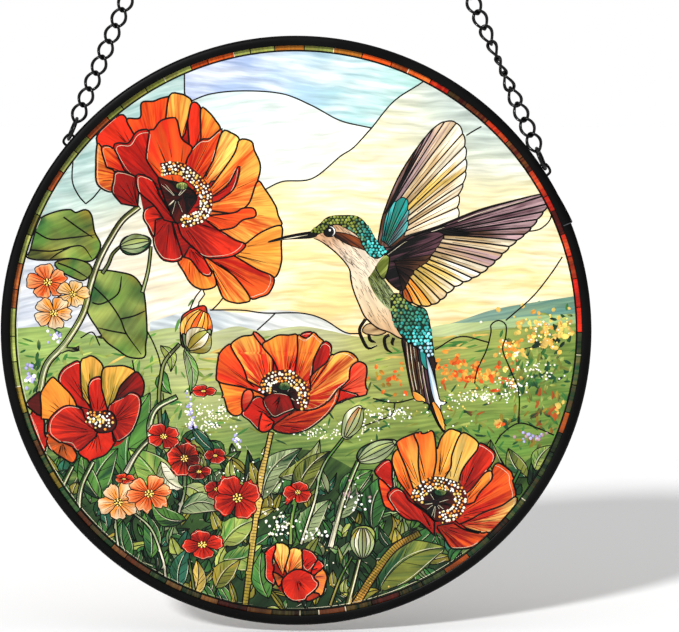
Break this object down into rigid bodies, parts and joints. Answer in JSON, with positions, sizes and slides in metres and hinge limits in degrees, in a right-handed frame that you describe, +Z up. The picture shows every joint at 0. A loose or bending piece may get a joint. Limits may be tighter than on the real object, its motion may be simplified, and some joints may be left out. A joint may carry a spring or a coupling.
{
  "type": "stained glass suncatcher",
  "caption": "Round hanging suncatcher: a clear panel with a stained-glass style picture in a black metal rim, hung by two curb chains from a ring.",
  "frame": {"origin": "the point inside the top of the hanging ring that rests on the hook", "axes": "+Z up along the line that the suncatcher hangs on, +Y out of the picture's back, +X to the right seen from the front; the picture faces -Y"},
  "size_m": [0.2, 0.0086, 0.3549],
  "materials": {
    "rim_enamel": "black satin enamel on rolled metal strip",
    "picture_glass": "glossy clear panel with a translucent stained-glass style picture and raised black lines",
    "chain_wire": "glossy black plated wire"
  },
  "bodies": {
    "root": {"rim": "rim_enamel", "picture_panel": "picture_glass", "jump_ring_left": "chain_wire", "jump_ring_right": "chain_wire", "chain_left": "chain_wire", "chain_right": "chain_wire", "hanging_ring": "chain_wire"}
  },
  "joints": []
}
